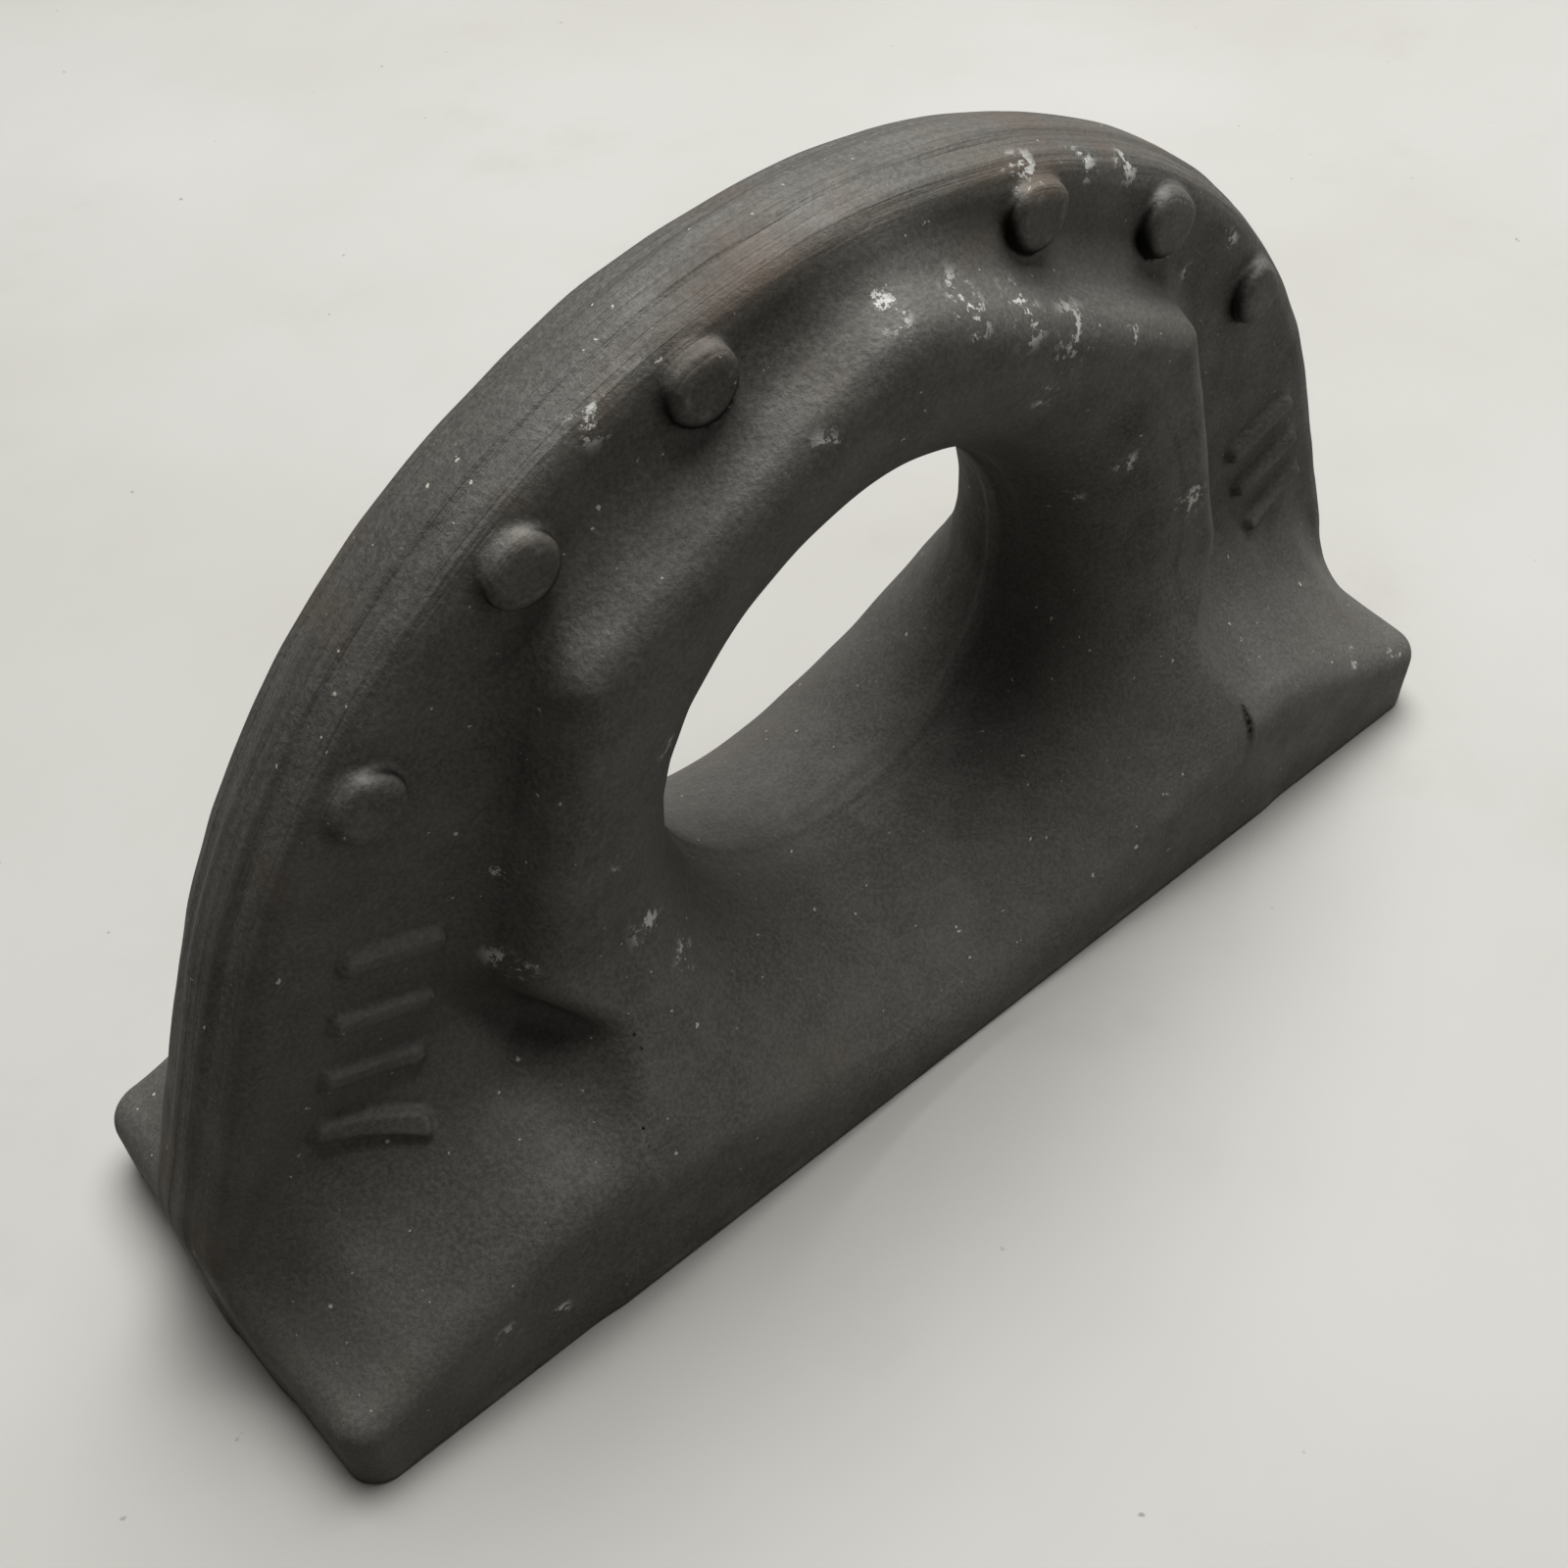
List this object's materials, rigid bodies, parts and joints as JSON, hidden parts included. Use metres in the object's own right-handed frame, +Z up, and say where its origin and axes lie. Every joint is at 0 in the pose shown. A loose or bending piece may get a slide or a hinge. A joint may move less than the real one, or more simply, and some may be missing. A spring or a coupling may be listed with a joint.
{
  "type": "weld-on lifting eye",
  "caption": "Drop-forged pad eye: a round eye in a thick arch that grows out of a flat rectangular base for welding.",
  "frame": {"origin": "middle of the flat welding face under the base", "axes": "+X along the base's length, +Y through the eye, +Z up from the welding face to the crown"},
  "size_m": [0.1724, 0.0538, 0.1003],
  "materials": {
    "forged_steel": "matte dark grey forging skin"
  },
  "bodies": {
    "root": {"forged_eye_body": "forged_steel"}
  },
  "joints": []
}
